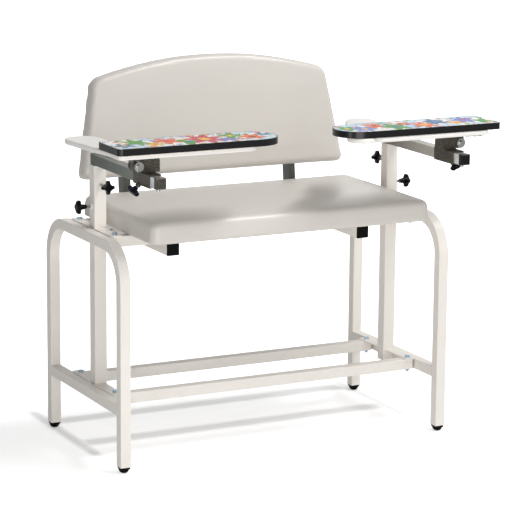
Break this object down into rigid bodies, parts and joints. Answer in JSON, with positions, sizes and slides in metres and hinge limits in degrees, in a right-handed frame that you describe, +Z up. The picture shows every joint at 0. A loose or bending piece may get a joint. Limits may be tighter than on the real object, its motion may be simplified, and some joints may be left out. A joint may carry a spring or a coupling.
{
  "type": "phlebotomy chair",
  "caption": "Wide phlebotomy chair: bolted square-tube frame, padded bench seat, arched leaning back, and arm boards that slide, rise and flip up.",
  "frame": {"origin": "on the floor, under the middle of the box round the whole chair", "axes": "+Z up, -Y towards the chair front, +X towards the right side seen from the front"},
  "size_m": [1.2282, 0.7616, 1.1112],
  "materials": {
    "paint": "off-white powder coat",
    "gray_paint": "gray powder coat",
    "black_plastic": "satin black moulding",
    "zinc": "bright zinc plate",
    "plywood": "plain plywood",
    "vinyl": "smooth warm gray vinyl",
    "bronze": "dark bronze finish",
    "satin_steel": "satin steel",
    "cover": "blue-gray sheet",
    "platform_plastic": "off-white moulded plastic",
    "board_core": "particle board",
    "laminate": "printed laminate"
  },
  "bodies": {
    "root": {"left_end_frame": "paint", "right_end_frame": "paint", "left_crossbar": "paint", "right_crossbar": "paint", "left_arm_post": "paint", "right_arm_post": "paint", "upper_tabs": "paint", "lower_tabs": "paint", "front_stretcher": "paint", "rear_stretcher": "paint", "front_seat_tube": "paint", "rear_seat_tube": "paint", "left_runner": "paint", "right_runner": "paint", "tube_caps": "black_plastic", "glides": "black_plastic", "frame_bolts": "zinc", "frame_nuts": "zinc", "post_nuts": "zinc", "seat_board": "plywood", "seat_cushion": "vinyl", "seat_bolts": "zinc", "back_board": "plywood", "back_cushion": "vinyl", "back_cover": "cover", "left_upright": "gray_paint", "right_upright": "gray_paint", "upright_bolts": "zinc", "back_bolts": "zinc"},
    "left_arm": {"left_arm_bar": "satin_steel", "left_bar_cap": "black_plastic", "left_stop_screw": "zinc"},
    "left_slide": {"left_sleeve": "bronze", "left_hinge_block": "bronze", "left_pivot_bolt": "zinc"},
    "left_flip": {"left_flip_leaf": "bronze", "left_platform": "platform_plastic", "left_board_core": "board_core", "left_board_edge": "black_plastic", "left_board_top": "laminate", "left_board_screws": "zinc"},
    "left_low_knob_turner": {"left_low_knob": "black_plastic"},
    "left_high_knob_turner": {"left_high_knob": "black_plastic"},
    "left_sleeve_knob_turner": {"left_sleeve_knob": "black_plastic"},
    "right_arm": {"right_arm_bar": "satin_steel", "right_bar_cap": "black_plastic", "right_stop_screw": "zinc"},
    "right_slide": {"right_sleeve": "bronze", "right_hinge_block": "bronze", "right_pivot_bolt": "zinc"},
    "right_flip": {"right_flip_leaf": "bronze", "right_platform": "platform_plastic", "right_board_core": "board_core", "right_board_edge": "black_plastic", "right_board_top": "laminate", "right_board_screws": "zinc"},
    "right_low_knob_turner": {"right_low_knob": "black_plastic"},
    "right_high_knob_turner": {"right_high_knob": "black_plastic"},
    "right_sleeve_knob_turner": {"right_sleeve_knob": "black_plastic"}
  },
  "joints": [
    {"name": "left_arm_height", "type": "slide", "parent": "root", "child": "left_arm", "axis": [0, 0, 1], "range_m": [0, 0.15]},
    {"name": "left_arm_reach", "type": "slide", "parent": "left_arm", "child": "left_slide", "axis": [0, -1, 0], "range_m": [-0.15, 0.012]},
    {"name": "left_arm_flip", "type": "hinge", "parent": "left_slide", "child": "left_flip", "pos_m": [-0.5034, -0.28084, 0.89592], "axis": [0, -1, 0], "range_deg": [0, 95]},
    {"name": "left_low_knob_turn", "type": "hinge", "parent": "root", "child": "left_low_knob_turner", "pos_m": [-0.4724, 0.05916, 0.724], "axis": [-1, 0, 0], "continuous": true},
    {"name": "left_high_knob_turn", "type": "hinge", "parent": "root", "child": "left_high_knob_turner", "pos_m": [-0.4724, 0.05916, 0.789], "axis": [0, -1, 0], "continuous": true},
    {"name": "left_sleeve_knob_turn", "type": "hinge", "parent": "left_slide", "child": "left_sleeve_knob_turner", "pos_m": [-0.4724, -0.27084, 0.85987], "axis": [-0.7071, 0, -0.7071], "continuous": true},
    {"name": "right_arm_height", "type": "slide", "parent": "root", "child": "right_arm", "axis": [0, 0, 1], "range_m": [0, 0.15]},
    {"name": "right_arm_reach", "type": "slide", "parent": "right_arm", "child": "right_slide", "axis": [0, -1, 0], "range_m": [-0.15, 0.012]},
    {"name": "right_arm_flip", "type": "hinge", "parent": "right_slide", "child": "right_flip", "pos_m": [0.523, -0.28084, 0.89592], "axis": [0, 1, 0], "range_deg": [0, 95]},
    {"name": "right_low_knob_turn", "type": "hinge", "parent": "root", "child": "right_low_knob_turner", "pos_m": [0.492, 0.05916, 0.724], "axis": [1, 0, 0], "continuous": true},
    {"name": "right_high_knob_turn", "type": "hinge", "parent": "root", "child": "right_high_knob_turner", "pos_m": [0.492, 0.05916, 0.789], "axis": [0, 1, 0], "continuous": true},
    {"name": "right_sleeve_knob_turn", "type": "hinge", "parent": "right_slide", "child": "right_sleeve_knob_turner", "pos_m": [0.492, -0.27084, 0.85987], "axis": [0.7071, 0, -0.7071], "continuous": true}
  ]
}
